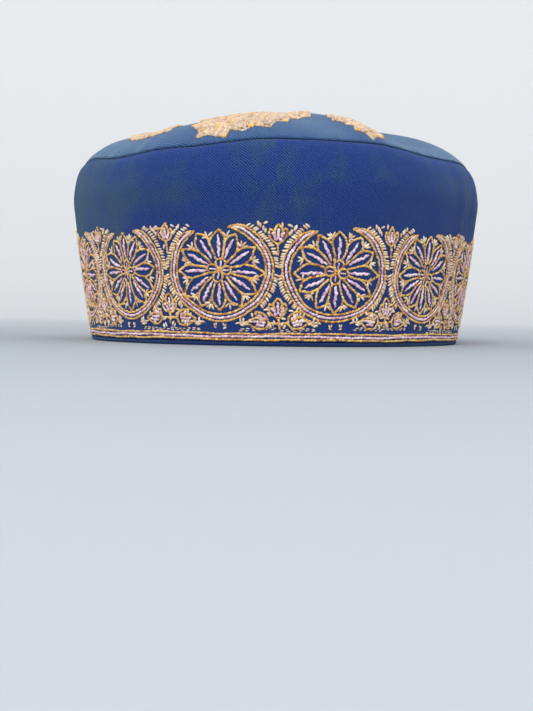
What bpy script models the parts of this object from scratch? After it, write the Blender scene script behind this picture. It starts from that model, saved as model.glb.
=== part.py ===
# A soft oval cap of blue wool twill.
# A tall side panel leans out from the hem and turns in over a soft shoulder to the seam of a domed
# crown panel. A facing of the same cloth is turned in at the hem and shows below the panel's edge.
# A raised border of thread work goes round the lower side, with a scalloped top, and the crown
# carries a ring of worked palmettes round a small rosette.
# The front of the cap faces -Y, the wearer's head goes in from below, and the hem stands on z = 0.

import math

import bmesh
import bpy
from mathutils import Vector

# Sizes that can be set by themselves, in metres.
HEM_HALF_WIDTH = 0.0777  # side panel's outer face at its lower edge, middle to side
HEM_HALF_DEPTH = 0.0980  # the same, middle to front
PANEL_HEIGHT = 0.0709  # lower edge of the side panel to the crown seam
FLARE = 0.0077  # how far the widest ring of the panel stands out past its lower edge
SHOULDER = 0.0042  # how far the crown seam lies inside the widest ring
PANEL_WALL = 0.0020  # outer cloth, canvas and lining as one wall
CROWN_RISE = 0.0153  # crown seam to the top of the dome
CROWN_WALL = 0.0018
RIM_EDGE = 0.0006  # height of the crown's edge at the seam, where its cloth is turned under
CROWN_FOLD = 0.0105  # depth of the deepest dent of the crown
CREASE = 0.0012  # tallest upright crease of the side panel
SEAM_DIP = 0.0034  # how far the crown seam sinks where its cloth is slackest
HEM_DROP = 0.0018  # the facing's edge showing below the panel
FACING_HEIGHT = 0.0180
FACING_WALL = 0.0012
FACING_STEP = 0.0004  # the facing's edge lies back from the panel's outer face
BORDER_FOOT = 0.0006  # panel's lower edge to the first row of the border
BORDER_HEIGHT = 0.0408  # first row of the border to the top of its scallops
SCALLOP = 0.0030  # depth of the dips between them
BORDER_RELIEF = 0.0006  # thickness of the border's threads
CROWN_RELIEF = 0.0007  # thickness of the crown's threads
SPRIG_WIDTH = 0.0370  # the broadest palmette across
ROSETTE_RADIUS = 0.0130
GAP = 0.0003  # between pieces that lie on each other

# Counts and shapes of the patterns.
SCALLOPS = 14
COLUMNS_PER_SCALLOP = 6
COLUMNS = SCALLOPS * COLUMNS_PER_SCALLOP
ROSETTE_LOBES = 12
ROSETTE_LOBE = 0.10  # depth of the lobes as a share of the radius
DOME_POWER = 5.5

# Upright section of the side panel.
# height: share of PANEL_HEIGHT; flare: share of FLARE; shoulder: share of SHOULDER
SIDE_SECTIONS = (
    (0.00, 0.00, 0.00),
    (0.14, 0.19, 0.00),
    (0.28, 0.38, 0.00),
    (0.43, 0.57, 0.00),
    (0.57, 0.75, 0.00),
    (0.69, 0.90, 0.00),
    (0.80, 1.00, 0.00),
    (0.87, 1.00, 0.13),
    (0.93, 1.00, 0.36),
    (0.97, 1.00, 0.64),
    (1.00, 1.00, 1.00),
)
SIDE_INSIDE = (0.00, 0.43, 0.80, 0.93, 1.00)  # heights of the inner face's rings

# Upright creases left by folding the cap flat.
# turn: place, in turns from the front towards +X; reach: half width in turns; stand: share of
# CREASE; foot and head: heights between which it shows, as shares of PANEL_HEIGHT
CREASES = (
    (0.066, 0.040, 0.75, -1.0, 2.0),
    (-0.082, 0.050, 0.45, -1.0, 2.0),
    (0.151, 0.012, 0.80, 0.50, 1.0),
    (0.176, 0.012, -0.50, 0.55, 1.0),
)

# Where each palmette lies.
# root across and along, tip across and along: shares of the seam's half width and half depth,
# +along to the back; width: share of SPRIG_WIDTH
SPRIG_PLACES = (
    (0.148, -0.591, -0.345, -0.906, 1.00),
    (0.271, -0.532, 0.456, -0.887, 0.70),
    (0.419, 0.079, 0.862, 0.296, 0.75),
    (0.246, 0.374, 0.468, 0.808, 0.80),
    (-0.172, 0.414, -0.271, 0.887, 0.85),
    (-0.443, 0.118, -0.837, 0.433, 0.80),
    (-0.702, -0.118, -0.493, -0.759, 0.65),
)

# Outline of a palmette from its root to its tip.
# share: of its length; half: of half its width
SPRIG_OUTLINE = (
    (0.00, 0.00),
    (0.05, 0.20),
    (0.13, 0.46),
    (0.21, 0.42),
    (0.30, 0.74),
    (0.38, 0.68),
    (0.48, 0.94),
    (0.56, 0.86),
    (0.65, 1.00),
    (0.72, 0.74),
    (0.80, 0.70),
    (0.85, 0.42),
    (0.91, 0.54),
    (0.95, 0.14),
    (1.00, 0.00),
)

# Slack places of the crown seam.
# turn: place, in turns from the front towards +X; reach: half width in turns; dip: of SEAM_DIP
SEAM_DIPS = (
    (-0.240, 0.060, 0.25),
    (-0.180, 0.060, 0.28),
    (-0.120, 0.060, 1.00),
    (-0.060, 0.060, 0.67),
    (0.060, 0.060, 0.05),
    (0.120, 0.060, 0.63),
    (0.180, 0.060, 0.38),
    (0.240, 0.060, 0.10),
    (0.360, 0.090, 0.47),
    (-0.350, 0.090, 0.41),
)

# Radii of the crown's rings, as shares of the seam's, and those of its inner face.
CROWN_RINGS = (1.00, 0.975, 0.94, 0.88, 0.80, 0.70, 0.58, 0.45, 0.30, 0.15)
CROWN_INSIDE = (1.00, 0.94, 0.80, 0.58, 0.30)

# Soft folds and dents of the crown.
# across, along: place, as shares of the seam's half width and half depth, +along to the back
# heading: degrees from +X; length, width: half sizes, as shares of the seam's half depth
# stand: share of CROWN_FOLD
CROWN_FOLDS = (
    (0.30, -0.74, 118.0, 0.30, 0.09, 0.54),
    (0.44, -0.61, 40.0, 0.32, 0.24, -0.81),
    (-0.37, -0.45, 155.0, 0.27, 0.20, -1.00),
    (-0.12, -0.34, 100.0, 0.40, 0.26, 0.52),
    (-0.45, 0.35, 60.0, 0.40, 0.20, -0.15),
    (0.25, 0.55, 20.0, 0.42, 0.18, -0.12),
)

SEAM_HEIGHT = HEM_DROP + PANEL_HEIGHT
SEAM_OUT = FLARE - SHOULDER
SEAM_HALF_WIDTH = HEM_HALF_WIDTH + SEAM_OUT
SEAM_HALF_DEPTH = HEM_HALF_DEPTH + SEAM_OUT

TWILL_BLUE = (0.022, 0.050, 0.180, 1.0)
CROWN_BLUE = (0.040, 0.085, 0.215, 1.0)
FACING_BLUE = (0.018, 0.036, 0.150, 1.0)
BORDER_GOLD = (0.560, 0.290, 0.110, 1.0)
CROWN_PEACH = (0.600, 0.350, 0.170, 1.0)


def between(rows, at, column):
    """A column's value at a place between the rows of a table, whose first column rises."""
    for low, high in zip(rows, rows[1:]):
        if at <= high[0]:
            share = max(0.0, (at - low[0]) / (high[0] - low[0]))
            return low[column] + share * (high[column] - low[column])
    return rows[-1][column]


def even_angles(half_width, half_depth, count, steps=3600):
    """Angles at which an ellipse is cut into arcs of equal length, the first at the front."""
    angles = [math.tau * i / steps for i in range(steps + 1)]
    lengths = [0.0]
    for first, second in zip(angles, angles[1:]):
        across = half_width * (math.sin(second) - math.sin(first))
        along = half_depth * (math.cos(second) - math.cos(first))
        lengths.append(lengths[-1] + math.hypot(across, along))
    found = []
    place = 0
    for i in range(count):
        wanted = lengths[-1] * i / count
        while lengths[place + 1] < wanted:
            place += 1
        share = (wanted - lengths[place]) / (lengths[place + 1] - lengths[place])
        found.append(angles[place] + share * (angles[place + 1] - angles[place]))
    return found


ANGLES = even_angles(HEM_HALF_WIDTH + FLARE / 2, HEM_HALF_DEPTH + FLARE / 2, COLUMNS)


def crease_stand(column, height):
    """How far the creases push the panel out at a column and a share of its height."""
    turn = column / COLUMNS
    total = 0.0
    for place, reach, stand, foot, head in CREASES:
        away = abs((turn - place + 0.5) % 1.0 - 0.5) / reach
        if away < 1.0 and foot < height < head:
            rise = math.sin(math.pi * (height - foot) / (head - foot))
            total += CREASE * stand * (1.0 - away) ** 1.5 * min(1.0, 1.5 * rise)
    return total


def seam_dip(column):
    """How far the crown seam lies below its full height at a column."""
    total = 0.0
    for place, reach, dip in SEAM_DIPS:
        away = abs((column / COLUMNS - place + 0.5) % 1.0 - 0.5) / reach
        if away < 1.0:
            total += SEAM_DIP * dip * (0.5 + 0.5 * math.cos(math.pi * away))
    return total


def panel_point(column, height, stand=0.0):
    """A point of the side panel's outer face, or one that stands off it, at a share of its height."""
    out = FLARE * between(SIDE_SECTIONS, height, 1) - SHOULDER * between(SIDE_SECTIONS, height, 2)
    out += stand + crease_stand(column, height)
    angle = ANGLES[column]
    across = (HEM_HALF_WIDTH + out) * math.sin(angle)
    along = -(HEM_HALF_DEPTH + out) * math.cos(angle)
    z = HEM_DROP + PANEL_HEIGHT * height - seam_dip(column) * height**4
    return Vector((across, along, z))


def fold_stand(across, along):
    """How far the crown's folds lift it at a place given in shares of the seam's half sizes."""
    total = 0.0
    for fold_across, fold_along, heading, length, width, stand in CROWN_FOLDS:
        dx = (across - fold_across) * SEAM_HALF_WIDTH / SEAM_HALF_DEPTH
        dy = along - fold_along
        turn = math.radians(heading)
        lengthwise = (dx * math.cos(turn) + dy * math.sin(turn)) / length
        sideways = (dy * math.cos(turn) - dx * math.sin(turn)) / width
        total += stand * math.exp(-(lengthwise**2) - sideways**2)
    return CROWN_FOLD * total


def crown_point(column, radius, stand=0.0):
    """A point of the crown's outer face, or one that stands off it, at a share of its radius."""
    rim = panel_point(column, 1.0)
    across = radius * rim.x / SEAM_HALF_WIDTH
    along = radius * rim.y / SEAM_HALF_DEPTH
    rise = CROWN_RISE * (1.0 - radius**DOME_POWER) + fold_stand(across, along) * (1.0 - radius**8)
    rise -= seam_dip(column) * radius**3
    z = SEAM_HEIGHT + GAP + RIM_EDGE + rise + stand
    return Vector((radius * rim.x, radius * rim.y, z))


def crown_ring(radius, stand):
    return [crown_point(column, radius, stand) for column in range(COLUMNS)]


def panel_ring(height, stand):
    return [panel_point(column, height, stand) for column in range(COLUMNS)]


def material(name, colour, roughness):
    made = bpy.data.materials.new(name)
    made.use_nodes = True
    shader = made.node_tree.nodes["Principled BSDF"]
    shader.inputs["Base Color"].default_value = colour
    shader.inputs["Roughness"].default_value = roughness
    shader.inputs["Metallic"].default_value = 0.0
    return made


def finished(name, bm, made_of):
    """The mesh as a named object, its faces pointing out, smooth but for its edges."""
    bmesh.ops.recalc_face_normals(bm, faces=bm.faces)
    mesh = bpy.data.meshes.new(name)
    bm.to_mesh(mesh)
    bm.free()
    mesh.shade_smooth()
    mesh.set_sharp_from_angle(angle=math.radians(40))
    mesh.materials.append(made_of)
    made = bpy.data.objects.new(name, mesh)
    bpy.context.scene.collection.objects.link(made)
    return made


def joined(bm, first, second):
    """Bridges two rings of as many vertices each."""
    for i in range(len(first)):
        after = (i + 1) % len(first)
        bm.faces.new((first[i], first[after], second[after], second[i]))


def hollow_band(name, rings, made_of):
    """A band from the rings of its section, taken in turn round the wall."""
    bm = bmesh.new()
    loops = [[bm.verts.new(point) for point in ring] for ring in rings]
    for first, second in zip(loops, loops[1:] + loops[:1]):
        joined(bm, first, second)
    return finished(name, bm, made_of)


def side_panel(cloth):
    outside = [panel_ring(height, 0.0) for height, flare, shoulder in SIDE_SECTIONS]
    inside = [panel_ring(height, -PANEL_WALL) for height in reversed(SIDE_INSIDE)]
    return hollow_band("side_panel", outside + inside, cloth)


def facing_point(column, z, stand):
    """A point beside the panel's lower part, at a height above the floor."""
    height = max(0.0, (z - HEM_DROP) / PANEL_HEIGHT)
    point = panel_point(column, height, stand)
    point.z = z
    return point


def hem_facing(cloth):
    """Runs up inside the panel, with its turned edge stepped out under the panel's own."""
    behind = -(PANEL_WALL + GAP)
    section = (
        (0.0, -FACING_STEP),
        (HEM_DROP - GAP, -FACING_STEP),
        (HEM_DROP - GAP, behind),
        (FACING_HEIGHT, behind),
        (FACING_HEIGHT, behind - FACING_WALL),
        (0.0, behind - FACING_WALL),
    )
    rings = [[facing_point(column, z, stand) for column in range(COLUMNS)] for z, stand in section]
    return hollow_band("hem_facing", rings, cloth)


def scallop_height(column):
    """Share of the panel's height at the border's top edge, highest between the dips."""
    wave = 0.5 + 0.5 * math.cos(math.tau * column / COLUMNS_PER_SCALLOP)
    return (BORDER_FOOT + BORDER_HEIGHT - SCALLOP * (1.0 - wave)) / PANEL_HEIGHT


def embroidered_border(threads):
    """Lies on the side panel and follows its sections up to a scalloped edge."""
    foot = BORDER_FOOT / PANEL_HEIGHT
    lowest_dip = (BORDER_FOOT + BORDER_HEIGHT - SCALLOP) / PANEL_HEIGHT
    heights = [row[0] for row in SIDE_SECTIONS if foot < row[0] < lowest_dip]

    def face(stand):
        rows = [panel_ring(height, stand) for height in [foot, *heights]]
        edge = [panel_point(c, scallop_height(c), stand) for c in range(COLUMNS)]
        return rows + [edge]

    return hollow_band("embroidered_border", face(GAP + BORDER_RELIEF) + face(GAP)[::-1], threads)


def crown_skin(bm, radii, stand):
    """A face of the crown in triangles, from its rim to the top of the dome, and its rings."""
    rings = [[bm.verts.new(point) for point in crown_ring(radius, stand)] for radius in radii]
    for outer, inner in zip(rings, rings[1:]):
        for i in range(COLUMNS):
            after = (i + 1) % COLUMNS
            bm.faces.new((outer[i], outer[after], inner[after]))
            bm.faces.new((outer[i], inner[after], inner[i]))
    pole = bm.verts.new(crown_point(0, 0.0, stand))
    for i in range(COLUMNS):
        bm.faces.new((rings[-1][i], rings[-1][(i + 1) % COLUMNS], pole))
    return rings


def crown_panel(cloth):
    """A domed shell whose rim stands on the top edge of the side panel."""
    bm = bmesh.new()
    outside = crown_skin(bm, CROWN_RINGS, 0.0)
    inside = crown_skin(bm, CROWN_INSIDE, -CROWN_WALL)
    foot = [bm.verts.new(panel_point(column, 1.0)) for column in range(COLUMNS)]
    for column in range(COLUMNS):
        inside[0][column].co = panel_point(column, 1.0, -PANEL_WALL)
        inside[0][column].co.z += GAP
        foot[column].co.z += GAP
    joined(bm, outside[0], foot)
    joined(bm, foot, inside[0])
    return finished("crown_panel", bm, cloth)


def thread_layer(threads):
    """The layer over the whole crown in which its threads lie, from which each motif is cut."""
    bm = bmesh.new()
    top = crown_skin(bm, CROWN_RINGS, GAP + CROWN_RELIEF)
    under = crown_skin(bm, CROWN_RINGS, GAP)
    joined(bm, top[0], under[0])
    layer = finished("thread_layer", bm, threads)
    layer.hide_render = True
    layer.display_type = "WIRE"
    return layer


def worked_patch(name, outline, layer, threads):
    """The part of the thread layer inside an outline, given in metres across and along."""
    bm = bmesh.new()
    low = [bm.verts.new((x, y, 0.0)) for x, y in outline]
    high = [bm.verts.new((x, y, SEAM_HEIGHT + 2.0 * CROWN_RISE)) for x, y in outline]
    bm.faces.new(low)
    bm.faces.new(high)
    joined(bm, low, high)
    patch = finished(name, bm, threads)
    cut = patch.modifiers.new("layer", "BOOLEAN")
    cut.operation = "INTERSECT"
    cut.solver = "EXACT"
    cut.object = layer
    return patch


def crown_sprig(number, layer, threads):
    root_across, root_along, tip_across, tip_along, width = SPRIG_PLACES[number]
    root = Vector((root_across * SEAM_HALF_WIDTH, root_along * SEAM_HALF_DEPTH))
    tip = Vector((tip_across * SEAM_HALF_WIDTH, tip_along * SEAM_HALF_DEPTH))
    sideways = (tip - root).orthogonal().normalized()
    one_side, other_side = [], []
    for share, half in SPRIG_OUTLINE:
        middle = root.lerp(tip, share)
        reach = sideways * half * width * SPRIG_WIDTH / 2
        one_side.append(tuple(middle + reach))
        other_side.append(tuple(middle - reach))
    outline = one_side + other_side[-2:0:-1]
    return worked_patch(f"crown_sprig_{number + 1}", outline, layer, threads)


def crown_rosette(layer, threads):
    """A lobed disc on the top of the dome."""
    outline = []
    for i in range(2 * ROSETTE_LOBES):
        angle = math.pi * i / ROSETTE_LOBES
        reach = ROSETTE_RADIUS * (1.0 - ROSETTE_LOBE * (i % 2))
        outline.append((reach * math.sin(angle), -reach * math.cos(angle)))
    return worked_patch("crown_rosette", outline, layer, threads)


def main():
    for old in list(bpy.data.objects):
        bpy.data.objects.remove(old)
    twill = material("blue wool twill", TWILL_BLUE, 0.9)
    crown_twill = material("crown twill", CROWN_BLUE, 0.9)
    facing_cloth = material("facing cloth", FACING_BLUE, 0.9)
    border_threads = material("border threads", BORDER_GOLD, 0.6)
    crown_threads = material("crown threads", CROWN_PEACH, 0.6)
    side_panel(twill)
    crown_panel(crown_twill)
    hem_facing(facing_cloth)
    embroidered_border(border_threads)
    layer = thread_layer(crown_threads)
    crown_rosette(layer, crown_threads)
    for number in range(len(SPRIG_PLACES)):
        crown_sprig(number, layer, crown_threads)


main()
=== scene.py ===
# The looks of a soft oval cap: blue wool twill cloth, a hand-worked border round the lower side and
# leaves of dense stitches on the crown. Every cloth is a grid wrapped on the cap's own surface, and
# every stitch is a small closed grain of thread that lies on that surface.

import math

import bpy
import numpy as np
from mathutils import Matrix, Vector


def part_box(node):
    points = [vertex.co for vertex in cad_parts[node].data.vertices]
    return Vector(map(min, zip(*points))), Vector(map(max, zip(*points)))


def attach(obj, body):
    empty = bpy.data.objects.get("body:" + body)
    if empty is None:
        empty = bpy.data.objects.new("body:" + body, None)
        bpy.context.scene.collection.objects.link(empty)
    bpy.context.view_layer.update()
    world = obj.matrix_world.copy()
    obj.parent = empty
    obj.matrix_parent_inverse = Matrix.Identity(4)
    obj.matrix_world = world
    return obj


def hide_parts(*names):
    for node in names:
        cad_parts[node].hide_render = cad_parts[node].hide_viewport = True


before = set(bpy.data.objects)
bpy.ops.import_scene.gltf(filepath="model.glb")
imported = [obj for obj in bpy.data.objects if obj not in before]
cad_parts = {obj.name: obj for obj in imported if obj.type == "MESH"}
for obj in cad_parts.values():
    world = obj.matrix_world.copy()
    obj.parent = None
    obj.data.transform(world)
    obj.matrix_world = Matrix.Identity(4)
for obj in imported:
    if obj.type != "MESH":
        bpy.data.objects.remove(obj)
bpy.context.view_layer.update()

MM = 0.001
chance = np.random.default_rng(11)  # the small differences between hand-made stitches


def colour(code):
    """Linear red, green, blue and alpha of an sRGB code such as 2C3E7A."""
    shares = [int(code[i : i + 2], 16) / 255 for i in (0, 2, 4)]
    linear = [s / 12.92 if s <= 0.04045 else ((s + 0.055) / 1.055) ** 2.4 for s in shares]
    return (*linear, 1.0)


def add(material, kind, settings=None, **inputs):
    """A node with its settings and its inputs linked or set: i0 is the first, _ stands for a space."""
    tree = material.node_tree
    node = tree.nodes.new(kind)
    for name, value in (settings or {}).items():
        setattr(node, name, value)
    for name, value in inputs.items():
        numbered = name[0] == "i" and name[1:].isdigit()
        socket = node.inputs[int(name[1:]) if numbered else name.replace("_", " ")]
        if isinstance(value, bpy.types.NodeSocket):
            tree.links.new(value, socket)
        else:
            socket.default_value = value
    return node


def principled(name):
    """A new material and its main shader."""
    made = bpy.data.materials.new(name)
    made.use_nodes = True
    return made, made.node_tree.nodes["Principled BSDF"]


# Camera, floor and light. The camera is where the photograph was taken from: half a metre in front,
# level with the border and rolled a little. Soft boxes over a pale floor that curves up behind.
CAMERA_PLACE = (0.0, -0.533, 0.0114)
CAMERA_TURN, CAMERA_TILT, CAMERA_ROLL = 0.33, 88.08, 0.8  # degrees
camera_data = bpy.data.cameras.new("camera")
camera_data.lens = 62.3
camera_data.clip_start = 0.01
camera = bpy.data.objects.new("camera", camera_data)
turned = Matrix.Rotation(math.radians(CAMERA_TURN), 4, "Z")
turned = turned @ Matrix.Rotation(math.radians(CAMERA_TILT), 4, "X")
turned = turned @ Matrix.Rotation(math.radians(CAMERA_ROLL), 4, "Z")
camera.matrix_world = Matrix.Translation(CAMERA_PLACE) @ turned
bpy.context.scene.collection.objects.link(camera)
bpy.context.scene.camera = camera

FLOOR_RADIUS = 2.4
FLAT_SHARE = 0.6  # of the radius, before the floor curves up
FLOOR_RISE = 0.9  # height of the far edge, as a share of the radius
bpy.ops.mesh.primitive_grid_add(x_subdivisions=96, y_subdivisions=30, size=1)
floor = bpy.context.object
floor.name = "studio_floor"
for vertex in floor.data.vertices:
    angle = math.tau * vertex.co.x
    out = vertex.co.y + 0.5
    lift = max(0.0, out - FLAT_SHARE) / (1.0 - FLAT_SHARE)
    curved = FLAT_SHARE + (1.0 - FLAT_SHARE) * math.sin(lift * math.pi / 2)
    reach = FLOOR_RADIUS * (out if out < FLAT_SHARE else curved)
    rise = FLOOR_RADIUS * FLOOR_RISE * (1.0 - math.cos(lift * math.pi / 2))
    vertex.co = (reach * math.sin(angle), -reach * math.cos(angle), rise)
floor.data.shade_smooth()
paper, shader = principled("pale studio paper")
# Painted shade: the paper is painted darker towards the middle, where the soft boxes light it most, so the
# floor looks as bright as the curve behind.
place = add(paper, "ShaderNodeTexCoord").outputs["Object"]
distance = add(paper, "ShaderNodeVectorMath", {"operation": "LENGTH"}, i0=place).outputs["Value"]
beyond = add(paper, "ShaderNodeMapRange", Value=distance, From_Min=0.15, From_Max=2.2).outputs["Result"]
paper_painted_shade = add(paper, "ShaderNodeValToRGB", Fac=beyond)
paper_painted_shade.color_ramp.elements[0].color = colour("9DA5AA")
paper_painted_shade.color_ramp.elements[1].color = colour("ECEDEE")
paper.node_tree.links.new(paper_painted_shade.outputs["Color"], shader.inputs["Base Color"])
shader.inputs["Roughness"].default_value = 0.9
shader.inputs["Specular IOR Level"].default_value = 0.1
floor.data.materials.append(paper)

world = bpy.data.worlds.new("soft daylight")
world.use_nodes = True
world.node_tree.nodes["Background"].inputs["Color"].default_value = colour("F4F5F7")
world.node_tree.nodes["Background"].inputs["Strength"].default_value = 1.0
bpy.context.scene.world = world
bpy.context.scene.view_settings.view_transform = "Standard"

# place, size and power of each soft box, and what it points at
for name, place, size, power in (
    ("key", (-0.30, -1.36, 1.15), 0.7, 17.0),
    ("fill", (1.10, -1.00, 0.75), 1.0, 1.5),
    ("top", (0.10, 0.25, 1.60), 1.4, 6.0),
):
    light_data = bpy.data.lights.new(name, "AREA")
    light_data.size = size
    light_data.energy = power
    light = bpy.data.objects.new(name, light_data)
    light.location = place
    light.rotation_mode = "QUATERNION"
    light.rotation_quaternion = (Vector((0, 0, 0.05)) - light.location).to_track_quat("-Z", "Y")
    bpy.context.scene.collection.objects.link(light)


# Side panel. One band of blue wool twill with its stiffening and lining as one wall, sewn into a
# tall oval that leans outward and turns in over a soft shoulder. Folding the cap flat left creases.
FLARE = 0.0077
SHOULDER = 0.0042
CREASE = 0.0012
SEAM_DIP = 0.0034
SEAM_PULL = 0.0004  # how far the crown seam draws the cloth in
SEAM_PULL_REACH = 0.0011
PUCKER = 0.00012
PUCKER_REACH = 0.006
PUCKER_COUNTS = (58, 83)  # round the cap
PANEL_WALL = 0.0020
panel_low, panel_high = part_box("side_panel")
widest_x, widest_y = panel_high.x, panel_high.y
hem_x, hem_y = widest_x - FLARE, widest_y - FLARE
panel_height = panel_high.z - panel_low.z

# height: share of the panel's; flare and shoulder: shares of FLARE and SHOULDER
SIDE_SECTIONS = np.array((
    (0.00, 0.00, 0.00),
    (0.14, 0.19, 0.00),
    (0.28, 0.38, 0.00),
    (0.43, 0.57, 0.00),
    (0.57, 0.75, 0.00),
    (0.69, 0.90, 0.00),
    (0.80, 1.00, 0.00),
    (0.87, 1.00, 0.13),
    (0.93, 1.00, 0.36),
    (0.97, 1.00, 0.64),
    (1.00, 1.00, 1.00),
))

# turn: place, in turns from the front towards +X; reach: half width in turns; stand: share of
# CREASE; foot and head: heights between which it shows, as shares of the panel's
CREASES = (
    (0.066, 0.040, 0.75, -1.0, 2.0),
    (-0.082, 0.050, 0.45, -1.0, 2.0),
    (0.151, 0.012, 0.80, 0.50, 1.0),
    (0.176, 0.012, -0.50, 0.55, 1.0),
)

# turn: place, in turns; reach: half width in turns; dip: share of SEAM_DIP
SEAM_DIPS = (
    (-0.240, 0.060, 0.25),
    (-0.180, 0.060, 0.28),
    (-0.120, 0.060, 1.00),
    (-0.060, 0.060, 0.67),
    (0.060, 0.060, 0.05),
    (0.120, 0.060, 0.63),
    (0.180, 0.060, 0.38),
    (0.240, 0.060, 0.10),
    (0.360, 0.090, 0.47),
    (-0.350, 0.090, 0.41),
)

# Shallow waves of the cloth. count: waves round the cap; slant: turns of phase over the height;
# phase in turns; stand: in millimetres
PANEL_WAVES = (
    (5, 0.4, 0.10, 0.22),
    (9, -0.7, 0.55, 0.16),
    (17, 1.3, 0.30, 0.10),
    (31, -0.5, 0.80, 0.05),
)


def smooth(at, places, values):
    """A soft curve through a table's values, read at many places."""
    slopes = np.gradient(values, places)
    i = np.clip(np.searchsorted(places, at, side="right") - 1, 0, len(places) - 2)
    step = places[i + 1] - places[i]
    t = np.clip((at - places[i]) / step, 0.0, 1.0)
    low = values[i] * (1 + 2 * t) + step * slopes[i] * t
    high = values[i + 1] * (3 - 2 * t) - step * slopes[i + 1] * (1 - t)
    return low * (1 - t) ** 2 + high * t**2


# Angles round the oval for turns counted in even lengths from the front.
STEPS = 4000
step_angles = np.linspace(-math.tau, 2 * math.tau, 3 * STEPS + 1)
across = (hem_x + FLARE / 2) * np.diff(np.sin(step_angles))
along = (hem_y + FLARE / 2) * np.diff(np.cos(step_angles))
step_turns = np.concatenate([[0.0], np.cumsum(np.hypot(across, along))])
round_length = step_turns[-1] / 3
step_turns = step_turns / round_length - 1.0


def away_from(turn, place):
    return np.abs((turn - place + 0.5) % 1.0 - 0.5)


def seam_dip(turn):
    total = 0.0 * turn
    for place, reach, dip in SEAM_DIPS:
        away = np.minimum(away_from(turn, place) / reach, 1.0)
        total += SEAM_DIP * dip * (0.5 + 0.5 * np.cos(math.pi * away))
    return total


def side(turn, height, stand):
    """Points of the side panel's outer face, or off it, at turns and shares of its height."""
    height = np.clip(height, 0.0, 1.0)
    heights = SIDE_SECTIONS[:, 0]
    out = FLARE * smooth(height, heights, SIDE_SECTIONS[:, 1])
    out -= SHOULDER * smooth(height, heights, SIDE_SECTIONS[:, 2])
    for place, reach, share, foot, head in CREASES:
        away = np.minimum(away_from(turn, place) / reach, 1.0)
        rise = np.sin(math.pi * np.clip((height - foot) / (head - foot), 0.0, 1.0))
        out += CREASE * share * (1.0 - away) ** 1.5 * np.minimum(1.0, 1.5 * rise)
    for count, slant, phase, wave in PANEL_WAVES:
        out += wave * MM * np.sin(math.tau * (count * turn + slant * height + phase)) * height
    # The seam draws the cloth in and puckers it.
    below = (1.0 - height) * panel_height
    out -= SEAM_PULL * np.exp(-below / SEAM_PULL_REACH)
    pucker = np.sin(math.tau * PUCKER_COUNTS[0] * turn)
    pucker += 0.6 * np.sin(math.tau * (PUCKER_COUNTS[1] * turn + 0.3))
    out += PUCKER * pucker * np.exp(-below / PUCKER_REACH)
    out = out + stand
    angle = np.interp(turn, step_turns, step_angles)
    z = panel_low.z + panel_height * height - seam_dip(turn) * height**4
    return np.stack([(hem_x + out) * np.sin(angle), -(hem_y + out) * np.cos(angle), z], -1)


def cloth_grid(name, columns, rows, shape, size_mm):
    """A grid wrapped round into a closed band by shape(turn, share), with a UV map in mm."""
    bpy.ops.object.select_all(action="DESELECT")
    bpy.ops.mesh.primitive_grid_add(x_subdivisions=columns, y_subdivisions=rows, size=1)
    cloth = bpy.context.object
    cloth.name = cloth.data.name = name
    flat = np.empty(3 * len(cloth.data.vertices))
    cloth.data.vertices.foreach_get("co", flat)
    flat = flat.reshape(-1, 3) + 0.5
    uv = np.empty(2 * len(cloth.data.loops))
    cloth.data.uv_layers[0].data.foreach_get("uv", uv)
    cloth.data.uv_layers[0].data.foreach_set("uv", (uv.reshape(-1, 2) * size_mm).ravel())
    cloth.data.uv_layers[0].name = "cloth_mm"
    cloth.data.vertices.foreach_set("co", shape(flat[:, 0], flat[:, 1]).ravel())
    bpy.ops.object.mode_set(mode="EDIT")
    bpy.ops.mesh.select_all(action="SELECT")
    bpy.ops.mesh.remove_doubles(threshold=1e-6)
    bpy.ops.object.mode_set(mode="OBJECT")
    cloth.data.shade_smooth()
    return cloth


def thickened(cloth, wall):
    """Gives the cloth its thickness inward."""
    solid = cloth.modifiers.new("wall", "SOLIDIFY")
    solid.thickness = wall
    solid.offset = -1.0
    bpy.context.view_layer.objects.active = cloth
    bpy.ops.object.modifier_apply(modifier="wall")


side_panel = cloth_grid(
    "side_panel_cloth", columns=504, rows=60, shape=lambda turn, share: side(turn, share, 0.0),
    size_mm=(round_length / MM, panel_height / MM),
)
thickened(side_panel, PANEL_WALL)


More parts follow.
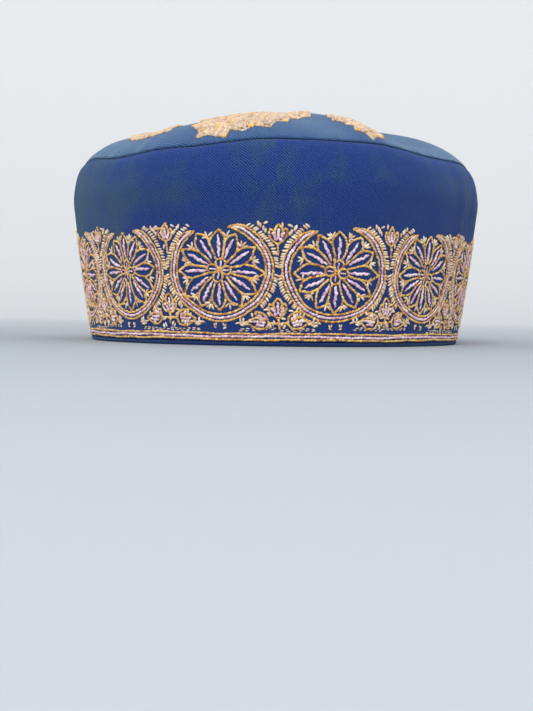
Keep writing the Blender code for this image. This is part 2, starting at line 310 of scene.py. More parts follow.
def wool_twill(name, deep, raised, patch_and_lit_deep, patch_and_lit_raised, grazing, sheen):
    """Wool twill: slanting wales 0.7 mm apart broken into floats, soft fuzz, tealer patches, painted
    highlight and shade in the weave, and painted light towards -X.
    """
    made, shader = principled(name)
    uv = add(made, "ShaderNodeUVMap", {"uv_map": "cloth_mm"}).outputs["UV"]
    drift = add(made, "ShaderNodeTexNoise", Vector=uv, Scale=0.15, Detail=3.0)
    bent = add(
        made, "ShaderNodeVectorMath", {"operation": "MULTIPLY_ADD"},
        i0=drift.outputs["Color"], i1=(1.8, 1.8, 0.0), i2=uv,
    ).outputs["Vector"]
    wales = add(
        made, "ShaderNodeTexWave", {"bands_direction": "DIAGONAL", "wave_profile": "SIN"},
        Vector=bent, Scale=0.62, Distortion=1.4, Detail=2.0, Detail_Scale=2.0,
    ).outputs["Fac"]
    floats = add(
        made, "ShaderNodeTexWave", {"bands_direction": "X", "wave_profile": "SIN"},
        Vector=bent, Scale=0.80, Distortion=2.0, Detail=1.0, Detail_Scale=3.0,
    ).outputs["Fac"]
    yarn = add(made, "ShaderNodeMath", {"operation": "MULTIPLY"}, i0=floats, i1=0.45)
    weave = add(
        made, "ShaderNodeMath", {"operation": "MULTIPLY_ADD"}, i0=wales, i1=0.65, i2=yarn.outputs[0]
    )
    patches = add(
        made, "ShaderNodeTexNoise", Vector=uv, Scale=0.045, Detail=4.0, Roughness=0.65
    ).outputs["Fac"]
    clear = add(
        made, "ShaderNodeMapRange",
        Value=patches, From_Min=0.38, From_Max=0.62, To_Min=0.55, To_Max=1.2,
    ).outputs["Result"]
    shown = add(
        made, "ShaderNodeMix", {"data_type": "FLOAT"}, i0=clear, i2=0.5, i3=weave.outputs[0]
    ).outputs[0]
    fuzz = add(made, "ShaderNodeTexNoise", Vector=uv, Scale=1.5, Detail=5.0, Roughness=0.75).outputs["Fac"]
    mixed = add(made, "ShaderNodeMath", {"operation": "MULTIPLY_ADD"}, i0=fuzz, i1=1.0, i2=shown)
    # Painted highlight and shade: the cloth is coloured darker in the weave's hollows and lighter on its
    # raised yarn; the fuzz varies this at random.
    light = add(
        made, "ShaderNodeMapRange", Value=mixed.outputs[0], From_Min=0.65, From_Max=1.35
    ).outputs["Result"]
    twill_colours = []
    for dark, bright in ((deep, raised), (patch_and_lit_deep, patch_and_lit_raised)):
        ramp = add(made, "ShaderNodeValToRGB", Fac=light)
        ramp.color_ramp.elements[0].color = colour(dark)
        ramp.color_ramp.elements[1].color = colour(bright)
        twill_colours.append(ramp.outputs["Color"])
    # The cloth turns tealer and lighter in patches at random.
    patch_place = add(
        made, "ShaderNodeMapping", Vector=uv, Location=(40.0, 9.0, 0.0), Scale=(0.05, 0.045, 1.0)
    ).outputs["Vector"]
    teal_patches = add(
        made, "ShaderNodeTexNoise", Vector=patch_place, Scale=1.0, Detail=5.0, Roughness=0.6
    ).outputs["Fac"]
    # Painted light: towards -X the cloth is painted more in its lighter, tealer colours, as if lit more from
    # that side.
    place = add(made, "ShaderNodeTexCoord").outputs["Object"]
    sideways = add(made, "ShaderNodeSeparateXYZ", Vector=place).outputs["X"]
    left = add(
        made, "ShaderNodeMapRange", Value=sideways, From_Min=-0.045, From_Max=-0.078, To_Max=0.22
    ).outputs["Result"]
    patches_and_left_light = add(made, "ShaderNodeMath", {"operation": "ADD"}, i0=teal_patches, i1=left).outputs[0]
    patch_and_light_share = add(
        made, "ShaderNodeMapRange", Value=patches_and_left_light, From_Min=0.50, From_Max=0.80
    ).outputs["Result"]
    both = add(made, "ShaderNodeMix", {"data_type": "RGBA"}, i0=patch_and_light_share, i6=twill_colours[0], i7=twill_colours[1]).outputs[2]
    relief = add(made, "ShaderNodeMath", {"operation": "MULTIPLY_ADD"}, i0=fuzz, i1=0.6, i2=weave.outputs[0])
    bump = add(made, "ShaderNodeBump", Strength=0.6, Distance=0.00022, Height=relief.outputs[0])
    made.node_tree.links.new(both, shader.inputs["Base Color"])
    made.node_tree.links.new(bump.outputs["Normal"], shader.inputs["Normal"])
    shader.inputs["Roughness"].default_value = 0.95
    shader.inputs["Specular IOR Level"].default_value = 0.15
    shader.inputs["Sheen Weight"].default_value = sheen
    shader.inputs["Sheen Roughness"].default_value = 0.4
    shader.inputs["Sheen Tint"].default_value = colour(grazing)
    return made


side_panel.data.materials.append(
    wool_twill("blue wool twill", "0A1240", "304C92", "0A1730", "46657F", "86A6BC", 0.28)
)
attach(side_panel, "root")
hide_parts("side_panel")


# Crown. One domed oval of the same twill, its edge turned under and sewn to the top of the side
# panel. It sags in soft folds, and its raised fibres catch the light from above.
CROWN_RISE = 0.0153
CROWN_FOLD = 0.0105
CROWN_WALL = 0.0016
DOME_POWER = 5.5
EDGE_ROLL = 0.0005  # how far the crown's edge rolls down into the seam
EDGE_ROLL_REACH = 0.0012
EDGE_PUCKER = 0.00010
EDGE_PUCKERS = 61  # round the cap
SEAT = 0.0001  # the crown's inside to the panel's top edge
crown_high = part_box("crown_panel")[1]
seam_x, seam_y = crown_high.x, crown_high.y

# across, along: place, as shares of the seam's half width and half depth, +along to the back
# heading: degrees from +X; length, width: half sizes, as shares of the seam's half depth
# stand: share of CROWN_FOLD
CROWN_FOLDS = (
    (0.30, -0.74, 118.0, 0.30, 0.09, 0.54),
    (0.44, -0.61, 40.0, 0.32, 0.24, -0.81),
    (-0.37, -0.45, 155.0, 0.27, 0.20, -1.00),
    (-0.12, -0.34, 100.0, 0.40, 0.26, 0.52),
    (-0.45, 0.35, 60.0, 0.40, 0.20, -0.15),
    (0.25, 0.55, 20.0, 0.42, 0.18, -0.12),
)
SEAM_GAP = 0.0003
CROWN_EDGE = 0.0006


def crown(turn, radius, stand):
    """Points of the crown's outer face, or off it, at turns and shares of its radius."""
    rim = side(turn, np.ones_like(turn), 0.0)
    x, y = radius * rim[..., 0], radius * rim[..., 1]
    rise = CROWN_RISE * (1.0 - radius**DOME_POWER) - seam_dip(turn) * radius**3
    for fold_across, fold_along, heading, length, width, share in CROWN_FOLDS:
        dx = (x / seam_x - fold_across) * seam_x / seam_y
        dy = y / seam_y - fold_along
        cos, sin = math.cos(math.radians(heading)), math.sin(math.radians(heading))
        bump = np.exp(-(((dx * cos + dy * sin) / length) ** 2) - ((dy * cos - dx * sin) / width) ** 2)
        rise += CROWN_FOLD * share * bump * (1.0 - radius**8)
    # The edge rolls down into the seam.
    inward = (1.0 - radius) * seam_y
    rise -= EDGE_ROLL * np.exp(-inward / EDGE_ROLL_REACH)
    pucker = EDGE_PUCKER * np.sin(math.tau * EDGE_PUCKERS * turn)
    rise += pucker * np.exp(-inward / PUCKER_REACH) * (radius < 1.0)
    z = panel_high.z + SEAM_GAP + CROWN_EDGE + rise + stand
    return np.stack([x, y, z], -1)


def crown_grid(turn, share):
    """Rings from the rim to the pole, closer together at the rim."""
    return crown(turn, 1.0 - share**1.25, 0.0)


crown_cloth = cloth_grid("crown_cloth", columns=336, rows=46, shape=crown_grid, size_mm=(math.tau, 1.0))
plan = crown_cloth.data.uv_layers["cloth_mm"].data
for loop in crown_cloth.data.loops:
    place = crown_cloth.data.vertices[loop.vertex_index].co
    plan[loop.index].uv = (place.x / MM, place.y / MM)
thickened(crown_cloth, CROWN_WALL)
# Near the seam the crown's inside is kept above the panel's top edge.
for vertex in crown_cloth.data.vertices:
    reach = math.hypot(vertex.co.x / seam_x, vertex.co.y / seam_y)
    if reach > 0.9:
        angle = math.atan2(vertex.co.x / seam_x, -vertex.co.y / seam_y)
        seat = panel_high.z + SEAT - float(seam_dip(np.interp(angle, step_angles, step_turns)))
        vertex.co.z = max(vertex.co.z, seat)
# Painted light: the crown's twill is given lighter, greyer colours than the side panel's same cloth,
# standing in for the light from above on its top.
crown_cloth.data.materials.append(
    wool_twill("crown wool twill", "182C56", "446492", "20385A", "6082A0", "A8C0CC", 0.75)
)
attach(crown_cloth, "root")
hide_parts("crown_panel")


# Hem facing. A strip of the same cloth turned in round the lower edge, pressed to a soft roll where
# it shows below the panel.
facing_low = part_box("hem_facing")[0]

# stand: millimetres out from the panel's lower edge; z: millimetres above the facing's foot
FACING_SECTION = np.array((
    (-0.15, 1.40),
    (-0.10, 0.95),
    (-0.30, 0.45),
    (-0.85, 0.10),
    (-1.60, 0.00),
    (-2.60, 0.00),
    (-3.15, 0.20),
    (-3.40, 0.90),
    (-3.50, 3.00),
    (-3.50, 10.0),
    (-3.50, 17.6),
    (-3.20, 18.0),
    (-2.60, 18.0),
    (-2.35, 17.6),
    (-2.35, 10.0),
    (-2.35, 3.00),
    (-2.30, 1.60),
    (-1.40, 1.48),
    (-0.50, 1.48),
    (-0.15, 1.40),
))


def facing_grid(turn, share):
    at = share * (len(FACING_SECTION) - 1)
    stand = np.interp(at, range(len(FACING_SECTION)), FACING_SECTION[:, 0]) * MM
    z = facing_low.z + np.interp(at, range(len(FACING_SECTION)), FACING_SECTION[:, 1]) * MM
    points = side(turn, np.maximum(0.0, (z - panel_low.z) / panel_height), stand)
    points[:, 2] = z
    return points


facing = cloth_grid(
    "hem_facing_cloth", columns=504, rows=38, shape=facing_grid, size_mm=(round_length / MM, 40.0)
)
facing.data.materials.append(
    wool_twill("hem wool twill", "0C1644", "344C8C", "10203E", "4A6690", "7FA3B5", 0.4)
)
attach(facing, "root")
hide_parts("hem_facing")


# Threads. Silk and wool yarns of the border and the crown, each stitch a little lighter or darker
# than the next, with the twist of the yarn as fine relief.
def thread(name, deep, light, rough=0.5):
    made, shader = principled(name)
    shade = add(made, "ShaderNodeAttribute", {"attribute_name": "shade"}).outputs["Fac"]
    place = add(made, "ShaderNodeTexCoord").outputs["Object"]
    fibres = add(made, "ShaderNodeTexNoise", Vector=place, Scale=2600.0, Detail=3.0).outputs["Fac"]
    both = add(made, "ShaderNodeMath", {"operation": "MULTIPLY_ADD"}, i0=fibres, i1=0.5, i2=shade)
    even = add(made, "ShaderNodeMapRange", Value=both.outputs[0], From_Min=0.25, From_Max=1.15)
    ramp = add(made, "ShaderNodeValToRGB", Fac=even.outputs["Result"])
    ramp.color_ramp.elements[0].color = colour(deep)
    ramp.color_ramp.elements[1].color = colour(light)
    bump = add(made, "ShaderNodeBump", Strength=0.5, Distance=0.0001, Height=fibres)
    made.node_tree.links.new(ramp.outputs["Color"], shader.inputs["Base Color"])
    made.node_tree.links.new(bump.outputs["Normal"], shader.inputs["Normal"])
    shader.inputs["Roughness"].default_value = rough
    shader.inputs["Specular IOR Level"].default_value = 0.4
    shader.inputs["Sheen Weight"].default_value = 0.40
    return made


GOLD, PINK, CREAM = range(3)
border_threads = (
    thread("gold silk thread", "A85C10", "FFD26C"),
    thread("pink silk thread", "CC8CA8", "FFE8F3"),
    thread("cream silk thread", "D8A474", "FFECCC"),
)

# Rings of a grain of thread. along: share of its length; swell: share of its half width; lift:
# share of its height
GRAIN_RINGS = ((-0.30, 0.85, 0.42), (0.0, 1.0, 0.50), (0.30, 0.85, 0.42))
SEED_RINGS = ((-0.26, 0.95, 0.45), (0.26, 0.95, 0.45))
GRAIN_SIDES = 5


def grain(rings):
    """Points (along, across, up) and triangles of one closed grain whose ends dive into the cloth."""
    points = [(-0.5, 0.0, 0.12)]
    for place, swell, lift in rings:
        for k in range(GRAIN_SIDES):
            angle = math.tau * (k + 0.25) / GRAIN_SIDES
            points.append((place, 0.5 * swell * math.cos(angle), lift + 0.5 * swell * math.sin(angle)))
    points.append((0.5, 0.0, 0.12))
    faces = []
    for k in range(GRAIN_SIDES):
        after = (k + 1) % GRAIN_SIDES
        faces.append((0, 1 + after, 1 + k))
        for ring in range(len(rings) - 1):
            a, b = 1 + ring * GRAIN_SIDES, 1 + (ring + 1) * GRAIN_SIDES
            faces.append((a + k, a + after, b + after))
            faces.append((a + k, b + after, b + k))
        last = 1 + (len(rings) - 1) * GRAIN_SIDES
        faces.append((last + k, last + after, len(points) - 1))
    return np.array(points), np.array(faces)


def stitches(x, y, heading, length, width, which, height=0.62):
    """Single stitches in millimetres and radians, each a little off its place as a hand sets it."""
    x = np.atleast_1d(np.asarray(x, float))
    count = len(x)
    table = np.empty((count, 8))
    table[:, 0] = x + chance.normal(0.0, 0.06, count)
    table[:, 1] = np.asarray(y, float) + chance.normal(0.0, 0.06, count)
    table[:, 2] = np.asarray(heading, float) + chance.normal(0.0, 0.07, count)
    table[:, 3] = length * (1.0 + chance.normal(0.0, 0.07, count))
    table[:, 4] = width * (1.0 + chance.normal(0.0, 0.08, count))
    table[:, 5] = height * width * (1.0 + chance.normal(0.0, 0.10, count))
    table[:, 6] = which
    table[:, 7] = np.clip(chance.normal(0.5, 0.22, count), 0.0, 1.0)
    return table


def row(path, which, pitch=1.12, length=1.65, width=0.88, lean=0.22):
    """A line of stitches that overlap end over end along a path, like a rope."""
    path = np.asarray(path, float)
    run = np.concatenate([[0.0], np.cumsum(np.hypot(*np.diff(path, axis=0).T))])
    count = max(1, round(run[-1] / pitch))
    at = (np.arange(count) + 0.5) * run[-1] / count
    x, y = (np.interp(at, run, path[:, k]) for k in (0, 1))
    before, after = np.maximum(at - 0.4, 0.0), np.minimum(at + 0.4, run[-1])
    dx, dy = (np.interp(after, run, path[:, k]) - np.interp(before, run, path[:, k]) for k in (0, 1))
    return stitches(x, y, np.arctan2(dy, dx) + lean, length, width, which)


def curve(*points, parts=8):
    """A soft line through a few points."""
    points = np.array(points, float)
    at = np.linspace(0, len(points) - 1, parts * (len(points) - 1) + 1)
    places = np.arange(len(points), dtype=float)
    return np.stack([smooth(at, places, points[:, k]) for k in (0, 1)], -1)


def polar(radius, degrees):
    """Places at radii and clockwise angles from straight up."""
    angle = np.radians(degrees)
    return np.stack([radius * np.sin(angle), radius * np.cos(angle)], -1)


def sew(name, table, surface, materials, rings=GRAIN_RINGS):
    """One object of all the table's stitches, laid on the surface."""
    template, faces = grain(rings)
    cos, sin = np.cos(table[:, 2, None]), np.sin(table[:, 2, None])
    along = template[:, 0] * table[:, 3, None]
    across = template[:, 1] * table[:, 4, None]
    up = template[:, 2] * table[:, 5, None]
    a = table[:, 0, None] + along * cos - across * sin
    b = table[:, 1, None] + along * sin + across * cos
    points = surface(a.ravel(), b.ravel(), (up.ravel() - 0.06) * MM)
    steps = len(template) * np.arange(len(table))
    triangles = (faces[None] + steps[:, None, None]).reshape(-1, 3)
    mesh = bpy.data.meshes.new(name)
    mesh.from_pydata(points.tolist(), [], triangles.tolist())
    shade = mesh.attributes.new("shade", "FLOAT", "POINT")
    shade.data.foreach_set("value", np.repeat(table[:, 7], len(template)).astype(np.float32))
    for made in materials:
        mesh.materials.append(made)
    which = np.repeat(table[:, 6].astype(np.int32), len(faces))
    mesh.polygons.foreach_set("material_index", which)
    mesh.shade_smooth()
    made = bpy.data.objects.new(name, mesh)
    bpy.context.scene.collection.objects.link(made)
    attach(made, "root")
    return made


# The border's pattern repeats round the cap, drawn in millimetres from the middle of a roundel.
REPEATS = 14
SPACING = round_length / MM / REPEATS
ROUNDEL_Z = 26.6
WIDER = 1.072  # the roundels are wider than they are tall
HALF = SPACING / 2
BORDER_SHIFT = 1.2  # of the whole border along the side, in mm
FRONT_SPREAD = 3.0  # how much farther apart the roundels are set at the front, in mm


def on_border(u, z, stand):
    """A place on the side panel, u along the border from the front and z above the floor, in mm.
    The roundels were set a little wider apart at the front than at the back."""
    turn = u / (REPEATS * SPACING)
    drawn = turn + (BORDER_SHIFT + FRONT_SPREAD * np.sin(math.tau * turn)) / (REPEATS * SPACING)
    return side(drawn, (z * MM - panel_low.z) / panel_height, stand)


def repeated(parts):
    """The parts' stitches at every repeat, each drawn a little differently."""
    tables = []
    for number in range(REPEATS):
        turn = math.radians(chance.normal(0.0, 1.5))
        swell = 1.0 + chance.normal(0.0, 0.012)
        phases = chance.uniform(0.0, math.tau, 4)
        for part in parts(number):
            table = part.copy()
            x, y = table[:, 0].copy(), table[:, 1].copy()
            table[:, 0] = swell * (x * math.cos(turn) - y * math.sin(turn))
            table[:, 1] = swell * (x * math.sin(turn) + y * math.cos(turn))
            table[:, 0] += 0.22 * np.sin(0.33 * y + phases[0]) + 0.12 * np.sin(0.8 * x + phases[1])
            table[:, 1] += 0.22 * np.sin(0.29 * x + phases[2]) + 0.12 * np.sin(0.7 * y + phases[3])
            table[:, 0] += (number + 0.5) * SPACING
            table[:, 1] += ROUNDEL_Z
            tables.append(table)
    return np.concatenate(tables)


# Ring rows. A pink row between two gold ones makes each ring, a crescent open at the top whose ends
# taper to a point.
RING_ROWS = ((17.45, GOLD, 0.88), (16.3, PINK, 1.00), (15.15, GOLD, 0.88))
RING_TAPER = 19.0
RING_TIP = 15.6


def ring_parts(number):
    start, end = 15.0 + chance.normal(0, 3.0), 333.0 + chance.normal(0, 2.0)
    made = []
    for radius, which, width in RING_ROWS:
        trim = 5.0 if which == PINK else 0.0
        angles = np.linspace(start + trim, end - trim, 120)
        near = np.clip(np.minimum(angles - start, end - angles) / RING_TAPER, 0.0, 1.0)
        shift = RING_TIP + (radius - RING_TIP) * np.sin(near * math.pi / 2)
        path = polar(shift, angles) * (WIDER, 1.0)
        made.append(row(path, which, width=width))
    return made


rings = sew("border_rings", repeated(ring_parts), on_border, border_threads)
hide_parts("embroidered_border")


# Rosettes. Twelve pointed petals round a small knot of four loops, outlined in gold with a ragged
# pink line down each, and little cream birds' feet between their tips and the ring.
PETALS = 12
PETAL_TIP, PETAL_NOTCH, PETAL_ROOT = 14.2, 9.6, 3.3
PETAL_BULGE = 9.9  # degrees from a petal's middle to its side
SPINE_ROOT, SPINE_TIP = 4.9, 11.9
LOOP_REACH = 4.3
FOOT_RADIUS = 11.9
ROSETTE_WIDER = 1.045


def spine(root, tip):
    """A ragged tapering line of slanting stitches, thick in its middle."""
    share = np.linspace(0.04, 0.96, 9)
    places = np.outer(1.0 - share, root) + np.outer(share, tip)
    places += chance.normal(0.0, 0.12, places.shape)
    heading = math.atan2(tip[1] - root[1], tip[0] - root[0])
    lean = np.where(np.arange(9) % 2, 0.42, -0.36) * np.sin(math.pi * share)
    width = 0.58 + 0.54 * np.sin(math.pi * share) ** 0.7
    return stitches(places[:, 0], places[:, 1], heading + lean, 1.75, width, PINK, 0.7)


def bird_foot(at, toes, spread, length):
    """A few short stitches that part from one place like toes."""
    aim = math.atan2(at[1], at[0]) + chance.normal(0.0, 0.25)
    headings = aim + np.radians(np.linspace(-spread, spread, toes)) + chance.normal(0.0, 0.12, toes)
    reach = length * (0.5 + chance.normal(0.0, 0.03, toes))
    return stitches(at[0] + reach * np.cos(headings), at[1] + reach * np.sin(headings), headings,
                    length, 0.74, CREAM, 0.8)


def rosette_parts(number):
    made = []
    step = 360.0 / PETALS
    tips = PETAL_TIP + chance.normal(0, 0.35, PETALS)
    notches = PETAL_NOTCH + chance.normal(0, 0.35, PETALS)
    leans = chance.normal(0, 2.2, PETALS)
    for k in range(PETALS):
        angle = k * step + leans[k]
        low, high = (k - 0.5) * step, (k + 0.5) * step
        tips[k] *= 1.0 + 0.05 * abs(math.sin(math.radians(angle)))
        root = PETAL_ROOT + 0.7 * abs(math.cos(2.0 * math.radians(high - 10.0)))
        made.append(row(curve(polar(root, high), polar(6.6, high + 1.8), polar(notches[k], high)), GOLD))
        for notch, bound, side_way in ((notches[k - 1], low, -1), (notches[k], high, 1)):
            swing = side_way * (PETAL_BULGE + chance.normal(0, 0.8))
            bulge = polar(0.50 * (tips[k] + notch), angle + swing)
            made.append(row(curve(polar(notch, bound), bulge, polar(tips[k], angle)), GOLD))
        made.append(spine(polar(SPINE_ROOT, angle + 1.0), polar(SPINE_TIP, angle)))
    for k in range(4):
        angle = 90.0 * k + 10.0 + chance.normal(0, 5.0)
        reach = LOOP_REACH + chance.normal(0, 0.2)
        loop = curve(polar(0.3, angle), polar(2.0, angle - 40), polar(3.5, angle - 24), polar(reach, angle),
                     polar(3.5, angle + 24), polar(2.0, angle + 40), polar(0.3, angle))
        made.append(row(loop, GOLD, pitch=1.0, length=1.4, width=0.80))
        made.append(row([polar(1.0, angle), polar(3.2, angle)], PINK, pitch=1.1, width=0.62))
    for k in range(PETALS):
        at = polar(FOOT_RADIUS + chance.normal(0, 0.2), (k + 0.5) * step + chance.normal(0, 1.5))
        toes = int(chance.integers(3, 5))
        made.append(bird_foot(at, toes, 58.0, 2.5))
        if chance.random() < 0.5:
            made.append(bird_foot(at, 1, 0.0, -1.3))
    for table in made:
        table[:, 0] *= ROSETTE_WIDER
    return made


rosettes = sew("border_rosettes", repeated(rosette_parts), on_border, border_threads)
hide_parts("embroidered_border")


# Sprigs. Between each two rings a tulip stands on a stem at the top, and a plant of three buds at
# the bottom, outlined in gold and filled with pink.
TULIP = (
    (GOLD, curve((0, 10.0), (-2.0, 11.4), (-2.9, 13.3), (-2.7, 15.2))),
    (GOLD, curve((-2.7, 15.2), (-1.5, 14.3), (-0.9, 12.6))),
    (GOLD, curve((-1.0, 12.4), (-1.2, 14.6), (0, 16.6), (1.2, 14.6), (1.0, 12.4))),
    (GOLD, curve((2.7, 15.2), (1.5, 14.3), (0.9, 12.6))),
    (GOLD, curve((0, 10.0), (2.0, 11.4), (2.9, 13.3), (2.7, 15.2))),
    (PINK, np.array(((-0.5, 11.2), (-1.9, 13.9)))),
    (PINK, np.array(((0, 11.6), (0, 15.2)))),
    (PINK, np.array(((0.5, 11.2), (1.9, 13.9)))),
    (GOLD, curve((0, 10.2), (0.1, 8.0), (0, 5.8))),
)
BUD = (
    (GOLD, curve((0, -15.9), (-2.1, -14.6), (-3.1, -12.6), (-2.6, -10.9))),
    (GOLD, curve((-2.6, -10.9), (-1.5, -11.6), (-0.9, -12.9))),
    (GOLD, curve((-1.0, -13.0), (-1.5, -10.9), (0, -8.9), (1.5, -10.9), (1.0, -13.0))),
    (GOLD, curve((2.6, -10.9), (1.5, -11.6), (0.9, -12.9))),
    (GOLD, curve((0, -15.9), (2.1, -14.6), (3.1, -12.6), (2.6, -10.9))),
    (PINK, np.array(((-0.5, -15.0), (-2.1, -12.2)))),
    (PINK, np.array(((0, -14.6), (0, -10.4)))),
    (PINK, np.array(((0.5, -15.0), (2.1, -12.2)))),
    (GOLD, curve((0, -15.9), (0.1, -17.8), (0, -19.8))),
)
SIDE_BUD = (
    (GOLD, curve((0, -17.9), (1.8, -17.7), (3.4, -17.6))),
    (GOLD, curve((3.4, -17.6), (4.0, -15.6), (5.8, -14.3), (8.0, -14.2))),
    (GOLD, curve((8.0, -14.2), (7.4, -15.7), (5.4, -17.0))),
    (GOLD, curve((4.6, -17.0), (7.6, -15.9), (11.4, -17.6))),
    (GOLD, curve((3.4, -17.8), (4.8, -19.7), (7.9, -19.8), (11.4, -17.6))),
    (PINK, np.array(((4.6, -16.4), (7.1, -14.9)))),
    (PINK, np.array(((4.8, -17.6), (9.0, -17.2)))),
    (PINK, np.array(((5.2, -18.7), (8.2, -18.5)))),
)


def sprig_parts(number):
    made = []
    for which, path in TULIP + BUD + SIDE_BUD + tuple((w, way * (-1.0, 1.0)) for w, way in SIDE_BUD):
        width = 0.88 if which == GOLD else 1.05
        made.append(row(path - (HALF, 0.0), which, pitch=1.0, length=1.45, width=width))
    return made


sprigs = sew("border_sprigs", repeated(sprig_parts), on_border, border_threads)
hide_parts("embroidered_border")


# Seed stitches. Short cream stitches slant in pairs up the outside of every ring, fill the corners
# round the sprigs, and dot the ground under the roundels.
# radius in mm and slant in degrees of each lane of seeds round a ring
SEED_LANES = ((18.95, -20.0), (20.85, 50.0), (22.6, -20.0), (24.4, 50.0), (26.2, -20.0))
SEED_LENGTH, SEED_WIDTH, SEED_PITCH = 2.1, 0.80, 1.03
SEED_CLEAR = 0.7  # from the sprigs' outlines


def top_edge(x):
    """Height of the border's upper edge across a repeat, from the middle of a roundel."""
    return 16.0 + 0.7 * np.clip((np.abs(x) - 9.0) / (HALF - 9.0), 0.0, 1.0)


def near_paths(x, y, paths):
    """The shortest distance of each place to the paths, in millimetres."""
    points = np.concatenate([path for which, path in paths])
    return np.hypot(x[:, None] - points[:, 0], y[:, None] - points[:, 1]).min(1)


def seed_parts(number):
    made = []
    sprig = TULIP + BUD + tuple((w, way * (-1.0, 1.0)) for w, way in SIDE_BUD)
    for radius, slant in SEED_LANES:
        for mirror in (1, -1):
            pitch = math.degrees(SEED_PITCH / radius)
            angles = np.arange(22.0 + chance.uniform(0, 2), 160.0, pitch)
            place = polar(radius, angles + chance.normal(0, 0.35, len(angles)))
            x, y = WIDER * place[:, 0], place[:, 1]
            kept = (x < HALF - 0.35) & (y < top_edge(x)) & (y > -20.0)
            kept &= near_paths(x - HALF, y, sprig) > SEED_CLEAR
            heading = np.radians(90.0 - angles[kept] + slant)
            made.append(stitches(mirror * x[kept], y[kept], mirror * heading + (mirror < 0) * math.pi,
                                 SEED_LENGTH, SEED_WIDTH, CREAM, 0.8))
    for mirror in (1, -1):
        x = np.arange(6.2, 10.8, 0.85)
        made.append(stitches(mirror * x, -18.8 + 0.05 * x, mirror * 0.5 + (mirror < 0) * math.pi,
                             1.7, 0.62, CREAM, 0.7))
        for dx, dy, lean in ((1.5, -19.3, 1.9), (2.2, -19.5, 1.2), (1.9, -20.4, 0.4)):
            aim = mirror * lean + (mirror < 0) * math.pi
            made.append(stitches([mirror * dx], [dy], aim, 1.4, 0.65, CREAM))
    for y, pitch in ((-20.6, 1.9), (-21.2, 2.3)):
        x = np.arange(-HALF + 0.6, HALF, pitch) + chance.uniform(0, 0.6)
        x = x[np.abs(x) > 7.0]
        made.append(stitches(x, y + 0 * x, 0.0, 1.6, 0.42, CREAM))
    return made


seeds = sew("border_seeds", repeated(seed_parts), on_border, border_threads, SEED_RINGS)
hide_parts("embroidered_border")


# Hem rows. Three close rows, gold, pink and gold, run all the way round just above the hem.
# height from the middle of the roundels, thread and width of each row
HEM_ROWS = ((-22.15, GOLD, 0.84), (-23.2, PINK, 0.92), (-24.25, GOLD, 0.84))
hem_tables = []
for y, which, width in HEM_ROWS:
    u = np.linspace(0.0, REPEATS * SPACING, 600)
    wave = math.tau * u / u[-1]
    sway = 0.16 * np.sin(10 * wave + which) + 0.10 * np.sin(34 * wave + 2.0 * which)
    path = np.stack([u, ROUNDEL_Z + y + sway], -1)
    hem_tables.append(row(path, which, pitch=1.2, length=1.75, width=width, lean=0.13))
hem_rows = sew("border_hem_rows", np.concatenate(hem_tables), on_border, border_threads)
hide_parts("embroidered_border")


# Crown leaves. A ring of leaves with pointed lobes, each filled solid with slanting rows of peach
# and beige wool on both sides of a yellow vein, their tips towards the seam.
SPRIG_WIDTH = 37.0
LEAF_SLANT = 52.0  # degrees of the rows from the vein
LEAF_STITCH, LEAF_STITCH_WIDTH, LEAF_PITCH = 3.2, 1.2, 2.5
PEACH, YELLOW = range(2)
crown_threads = (
    thread("peach wool thread", "987658", "E2C4A2", 0.75),
    thread("yellow silk thread", "BE8228", "F8C458", 0.6),
)

# root across and along, tip across and along: shares of the seam's half width and half depth,
# +along to the back; width: share of SPRIG_WIDTH
SPRIG_PLACES = (
    (0.148, -0.591, -0.345, -0.906, 1.00),
    (0.271, -0.532, 0.425, -0.895, 0.56),
    (0.419, 0.079, 0.862, 0.296, 0.75),
    (0.246, 0.374, 0.468, 0.808, 0.80),
    (-0.172, 0.414, -0.271, 0.887, 0.85),
    (-0.443, 0.118, -0.837, 0.433, 0.80),
    (-0.702, -0.118, -0.485, -0.759, 0.55),
)

# share: of the leaf's length from its root; half: of half its width
SPRIG_OUTLINE = np.array((
    (0.00, 0.00),
    (0.05, 0.20),
    (0.13, 0.46),
    (0.21, 0.42),
    (0.30, 0.74),
    (0.38, 0.68),
    (0.48, 0.94),
    (0.56, 0.86),
    (0.65, 1.00),
    (0.72, 0.74),
    (0.80, 0.70),
    (0.85, 0.42),
    (0.91, 0.54),
    (0.95, 0.14),
    (1.00, 0.00),
))


def on_crown(x, y, stand):
    """A place on the crown from above, in millimetres from its middle."""
    angle = np.arctan2(x * MM / seam_x, -y * MM / seam_y)
    turn = np.interp(angle, step_angles, step_turns)
    rim = side(turn, np.ones_like(turn), 0.0)
    radius = np.hypot(x, y) * MM / np.hypot(rim[:, 0], rim[:, 1])
    return crown(turn, radius, stand)


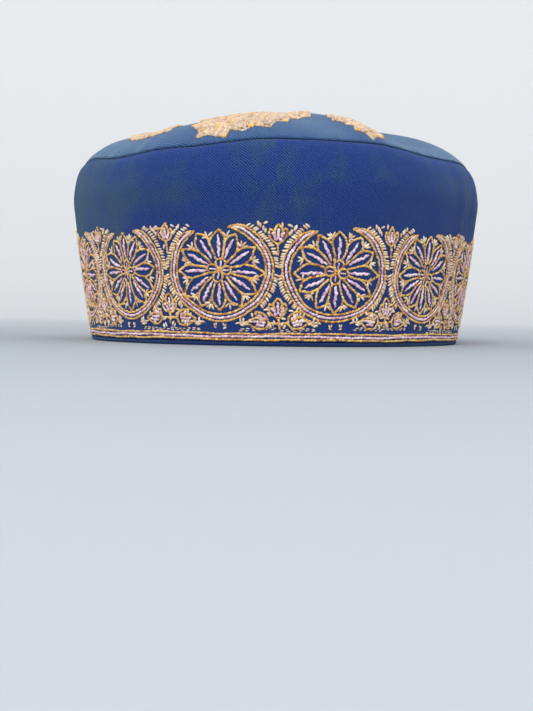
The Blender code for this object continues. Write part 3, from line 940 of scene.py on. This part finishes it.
def leaf_rows(length, width):
    """Stitches of one leaf in millimetres, x along it from its root and y across it."""
    made = []
    slant = math.radians(LEAF_SLANT)
    for start in np.arange(-14.0, length, 1.0):
        for mirror in (1, -1):
            reach = np.arange(0.6 + 1.3 * (round(start) % 2), 30.0, LEAF_PITCH)
            x = start + reach * math.cos(slant)
            y = reach * math.sin(slant)
            half = width / 2 * np.interp(x / length, SPRIG_OUTLINE[:, 0], SPRIG_OUTLINE[:, 1])
            kept = (x > 0.0) & (y < half + chance.uniform(-0.7, 0.6, len(x)))
            tilt = mirror * slant + chance.normal(0.0, 0.16, kept.sum())
            which = np.where(chance.random(kept.sum()) < 0.10, YELLOW, PEACH)
            made.append(stitches(x[kept], mirror * y[kept], tilt, LEAF_STITCH, LEAF_STITCH_WIDTH,
                                 which, 0.75))
    made.append(row(((1.0, 0.0), (length - 0.5, 0.0)), YELLOW, width=1.0))
    for mirror in (1, -1):
        edge = np.stack([SPRIG_OUTLINE[:, 0] * length, mirror * SPRIG_OUTLINE[:, 1] * width / 2], -1)
        made.append(row(edge, PEACH, width=0.95))
    return np.concatenate(made)


for number, (root_across, root_along, tip_across, tip_along, width) in enumerate(SPRIG_PLACES):
    root = np.array((root_across * seam_x, root_along * seam_y)) / MM
    reach = np.array((tip_across * seam_x, tip_along * seam_y)) / MM - root
    heading = math.atan2(reach[1], reach[0])
    table = leaf_rows(np.hypot(*reach), width * SPRIG_WIDTH)
    x, y = table[:, 0].copy(), table[:, 1].copy()
    table[:, 0] = root[0] + x * math.cos(heading) - y * math.sin(heading)
    table[:, 1] = root[1] + x * math.sin(heading) + y * math.cos(heading)
    table[:, 2] += heading
    leaf = sew(f"crown_leaf_{number + 1}", table, on_crown, crown_threads, SEED_RINGS)
    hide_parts(f"crown_sprig_{number + 1}")


# Crown rosette. Four rings of satin stitches round a yellow knot on the top of the dome.
# radius in mm, number of stitches and thread
ROSETTE_RINGS = (
    (1.2, 6, YELLOW),
    (3.6, 16, PEACH),
    (6.2, 26, YELLOW),
    (8.8, 36, PEACH),
    (11.2, 44, PEACH),
)
rosette_tables = []
for radius, count, which in ROSETTE_RINGS:
    around = math.tau * np.arange(count) / count
    ripple = 1.0 + 0.06 * np.cos(12 * around) * (radius > 8)
    rosette_tables.append(stitches(radius * ripple * np.cos(around), radius * ripple * np.sin(around),
                                   around, 3.0, 1.5, which, 0.6))
crown_rosette = sew(
    "crown_rosette_threads", np.concatenate(rosette_tables), on_crown, crown_threads, SEED_RINGS
)
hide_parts("crown_rosette")
